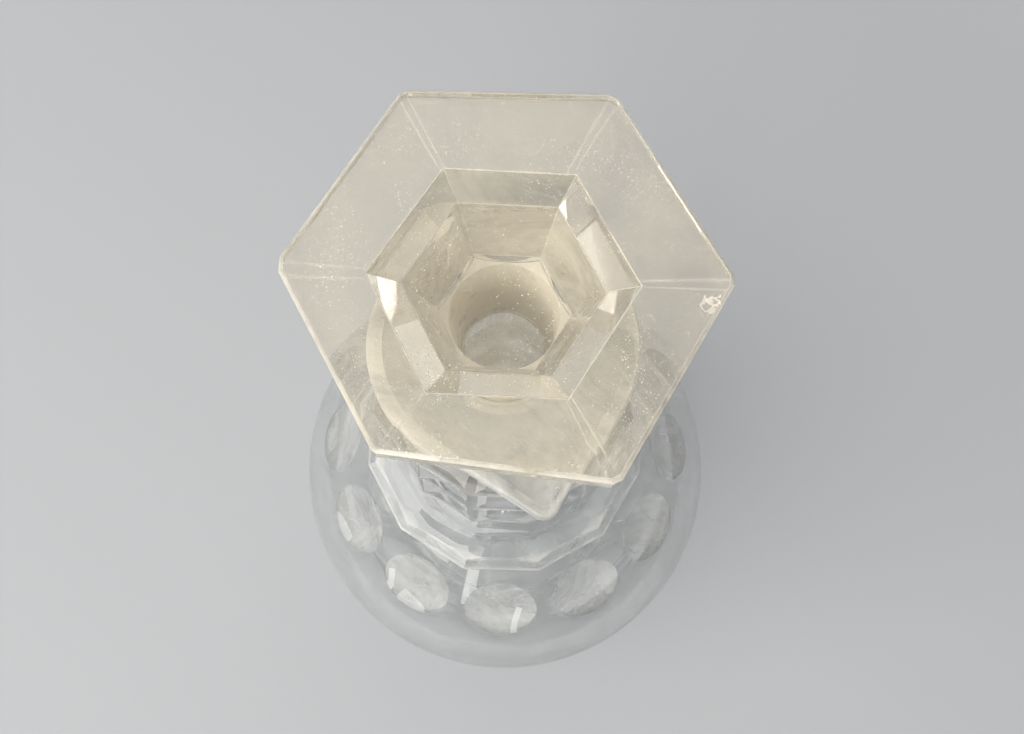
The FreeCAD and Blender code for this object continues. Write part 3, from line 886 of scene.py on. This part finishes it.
# The upright edges are worn, and carry a painted highlight, as well: those of the table down to the flare, and
# those of the shank below it.
at_table = np.isclose(bearing[:, None], np.angle(table_outline)).any(axis=1)
at_shank = np.isclose(bearing[:, None], np.angle(shank_outline)).any(axis=1)
row_number = np.arange(len(stops))[:, None]
worn_highlit_above = (row_number > bevel_row) & (row_number <= flare_row) & at_table
worn_highlit_below = (row_number >= flare_row) & (row_number < ground_row) & at_shank
worn_highlit_round = np.isin(row_number, [bevel_row, rim_row, flare_row, waist_row, foot_row])
cloud = np.array([stop[2] for stop in stops])[:, None] * np.ones(len(bearing))
cloud = np.maximum(cloud, np.maximum(worn_highlit_above * table_edge_wear_and_highlight, worn_highlit_below * shank_edge_wear_and_highlight))

# The rows run down from the table, so the columns are turned round to keep the faces outward.
directions = np.exp(1j * bearing[::-1])
points = np.stack([radius_rows[:, ::-1] * directions.real, radius_rows[:, ::-1] * directions.imag,
                   level_rows[:, ::-1]], axis=-1)
stopper = closed_grid(
    "stopper_glass", points, (0, 0, table_top), (0, 0, peg_end), edge_rows, stopper_sharp_angle,
)
ground_rows = (row_number >= ground_row) & (row_number < len(stops) - end_row_count)
point_values(stopper, "ground", ground_rows * np.ones(len(bearing)))
point_values(stopper, "cloud", cloud[:, ::-1])
point_values(stopper, "wear_and_highlight", (worn_highlit_above | worn_highlit_below | worn_highlit_round)[:, ::-1] * 1.0)

# A knock has lifted a shell of glass beside one corner of the table. Its crack is a ring painted bright, as the
# glint that the crack throws.
knock_middle = Vector((25.5, -9.9, 248.2)) * mm
knock_radius = 1.9 * mm
knock_ring = 1.5
knock_ring_width = 0.06
knock_glint_cover = 0.6


def knock_glint_mark(tree):
    """Output that is 1 on an uneven ring round the knock, on which the crack's glint is painted bright: where the
    distance to its middle, moved by a noise, lies close to its radius."""
    place = node(tree, "ShaderNodeTexCoord")
    away = node(tree, "ShaderNodeVectorMath", operation="DISTANCE")
    away.inputs[1].default_value = knock_middle
    noise = node(tree, "ShaderNodeTexNoise", Scale=700.0, Detail=3.0)
    uneven = node(tree, "ShaderNodeMath", operation="MULTIPLY_ADD")
    uneven.inputs[1].default_value = knock_radius
    ring = node(tree, "ShaderNodeMath", operation="COMPARE")
    ring.inputs[1].default_value = knock_radius * knock_ring
    ring.inputs[2].default_value = knock_radius * knock_ring_width
    tree.links.new(place.outputs["Object"], away.inputs[0])
    tree.links.new(place.outputs["Object"], noise.inputs["Vector"])
    tree.links.new(noise.outputs["Fac"], uneven.inputs[0])
    tree.links.new(away.outputs["Value"], uneven.inputs[2])
    tree.links.new(uneven.outputs["Value"], ring.inputs[0])
    return ring.outputs["Value"]


stopper_clear = cut_glass("stopper_glass", clear=(0.875, 0.83, 0.735), ground=(0.95, 0.905, 0.82), ripple=0.01)
stopper_haze_and_highlight = clouded_highlit_skin("stopper_haze_and_highlight", dusty=(0.80, 0.75, 0.64), ground=(0.97, 0.92, 0.81),
                            wear_and_highlight=(0.96, 0.94, 0.88), specks=0.6, mark=knock_glint_mark, mark_cover=knock_glint_cover)
stopper_skin = under_surface(stopper, "stopper_skin", skin_depth)
stopper.data.materials.append(stopper_clear)
stopper_skin.data.materials.append(stopper_haze_and_highlight)
for piece in (stopper, stopper_skin):
    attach(piece, "stopper")
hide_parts("stopper")


# The studio: a plain pale table top that fades into the room's colour far from the object, a pale room that greys
# towards the ceiling, two wide soft lamps, and a weak upright strip lamp in front, whose reflection runs down
# the shoulder.
floor_colour = (0.50, 0.51, 0.525)
horizon_colour = (0.57, 0.58, 0.595)
ceiling_colour = (0.15, 0.155, 0.17)
floor_size = 6.0
paper_roughness = 0.8
horizon_level = 0.12
ceiling_level = 0.8
fade_start = 0.26
fade_end = 0.62
floor_gap = 0.1 * mm
lamp_aim = Vector((0, 0, 0.12))
edge = floor_size / 2
floor_corners = [(-edge, -edge), (edge, -edge), (edge, edge), (-edge, edge)]
floor_mesh = bpy.data.meshes.new("floor")
floor_mesh.from_pydata([(x, y, -floor_gap) for x, y in floor_corners], [], [(0, 1, 2, 3)])
floor = bpy.data.objects.new("floor", floor_mesh)
bpy.context.collection.objects.link(floor)
paper = bpy.data.materials.new("floor_paper")
paper.use_nodes = True
tree = paper.node_tree
paper_shader = tree.nodes["Principled BSDF"]
paper_shader.inputs["Base Color"].default_value = (*floor_colour, 1)
paper_shader.inputs["Roughness"].default_value = paper_roughness
place = node(tree, "ShaderNodeTexCoord")
distance = node(tree, "ShaderNodeVectorMath", operation="LENGTH")
fade = node(tree, "ShaderNodeMapRange", From_Min=fade_start, From_Max=fade_end, interpolation_type="SMOOTHSTEP")
path = node(tree, "ShaderNodeLightPath")
seen = node(tree, "ShaderNodeMath", operation="MAXIMUM")
seen_through = node(tree, "ShaderNodeMath", operation="MAXIMUM")
share = node(tree, "ShaderNodeMath", operation="MULTIPLY")
far_wall = node(tree, "ShaderNodeEmission", Color=(*horizon_colour, 1))
faded = node(tree, "ShaderNodeMixShader")
tree.links.new(place.outputs["Object"], distance.inputs[0])
tree.links.new(distance.outputs["Value"], fade.inputs["Value"])
tree.links.new(path.outputs["Is Camera Ray"], seen.inputs[0])
tree.links.new(path.outputs["Is Glossy Ray"], seen.inputs[1])
tree.links.new(seen.outputs["Value"], seen_through.inputs[0])
tree.links.new(path.outputs["Is Transmission Ray"], seen_through.inputs[1])
tree.links.new(fade.outputs["Result"], share.inputs[0])
tree.links.new(seen_through.outputs["Value"], share.inputs[1])
tree.links.new(share.outputs["Value"], faded.inputs["Fac"])
tree.links.new(paper_shader.outputs["BSDF"], faded.inputs[1])
tree.links.new(far_wall.outputs["Emission"], faded.inputs[2])
tree.links.new(faded.outputs["Shader"], tree.nodes["Material Output"].inputs["Surface"])
floor_mesh.materials.append(paper)

world = bpy.data.worlds.new("room")
bpy.context.scene.world = world
world.use_nodes = True
tree = world.node_tree
sight = node(tree, "ShaderNodeTexCoord")
parts = node(tree, "ShaderNodeSeparateXYZ")
shade = node(tree, "ShaderNodeValToRGB")
shade.color_ramp.elements[0].color = (*horizon_colour, 1)
shade.color_ramp.elements[0].position = horizon_level
shade.color_ramp.elements[1].color = (*ceiling_colour, 1)
shade.color_ramp.elements[1].position = ceiling_level
tree.links.new(sight.outputs["Generated"], parts.inputs["Vector"])
tree.links.new(parts.outputs["Z"], shade.inputs["Fac"])
tree.links.new(shade.outputs["Color"], tree.nodes["Background"].inputs["Color"])

for name, place, width, height, power, colour in (
    ("window_lamp", (-1.00, -0.40, 1.28), 1.60, 1.60, 28.5, (1.0, 0.98, 0.95)),
    ("ceiling_lamp", (0.16, 0.48, 1.68), 1.44, 1.44, 6.7, (1.0, 0.96, 0.90)),
    ("strip_lamp", (-0.49, -0.88, 0.56), 0.10, 1.10, 1.4, (1.0, 0.98, 0.95)),
):
    lamp = bpy.data.lights.new(name, "AREA")
    lamp.energy = power
    lamp.shape = "RECTANGLE"
    lamp.size = width
    lamp.size_y = height
    lamp.color = colour
    stand = bpy.data.objects.new(name, lamp)
    stand.location = place
    stand.rotation_euler = (lamp_aim - Vector(place)).to_track_quat("-Z", "Y").to_euler()
    bpy.context.collection.objects.link(stand)

# The camera looks steeply down on the stopper from in front of it, as it was photographed.
photo_width = 1024
focal_pixels = 900.0
camera_place = Vector((-9.86, -43.29, 359.94)) * mm
camera_aim = Vector((-1.96, -12.90, 250.0)) * mm
camera_roll = math.radians(-1.115)
view = bpy.data.cameras.new("camera")
view.sensor_width = 36.0
view.lens = focal_pixels / photo_width * view.sensor_width
view.clip_start = 0.01
camera = bpy.data.objects.new("camera", view)
camera.location = camera_place
sight_line = (camera_aim - camera_place).normalized()
camera.rotation_mode = "QUATERNION"
camera.rotation_quaternion = Quaternion(sight_line, camera_roll) @ sight_line.to_track_quat("-Z", "Y")
bpy.context.collection.objects.link(camera)
scene = bpy.context.scene
scene.camera = camera
scene.view_settings.view_transform = "Standard"
scene.cycles.max_bounces = 24
scene.cycles.transmission_bounces = 24
scene.cycles.glossy_bounces = 24
scene.cycles.transparent_max_bounces = 32
scene.cycles.caustics_reflective = False
scene.cycles.caustics_refractive = True
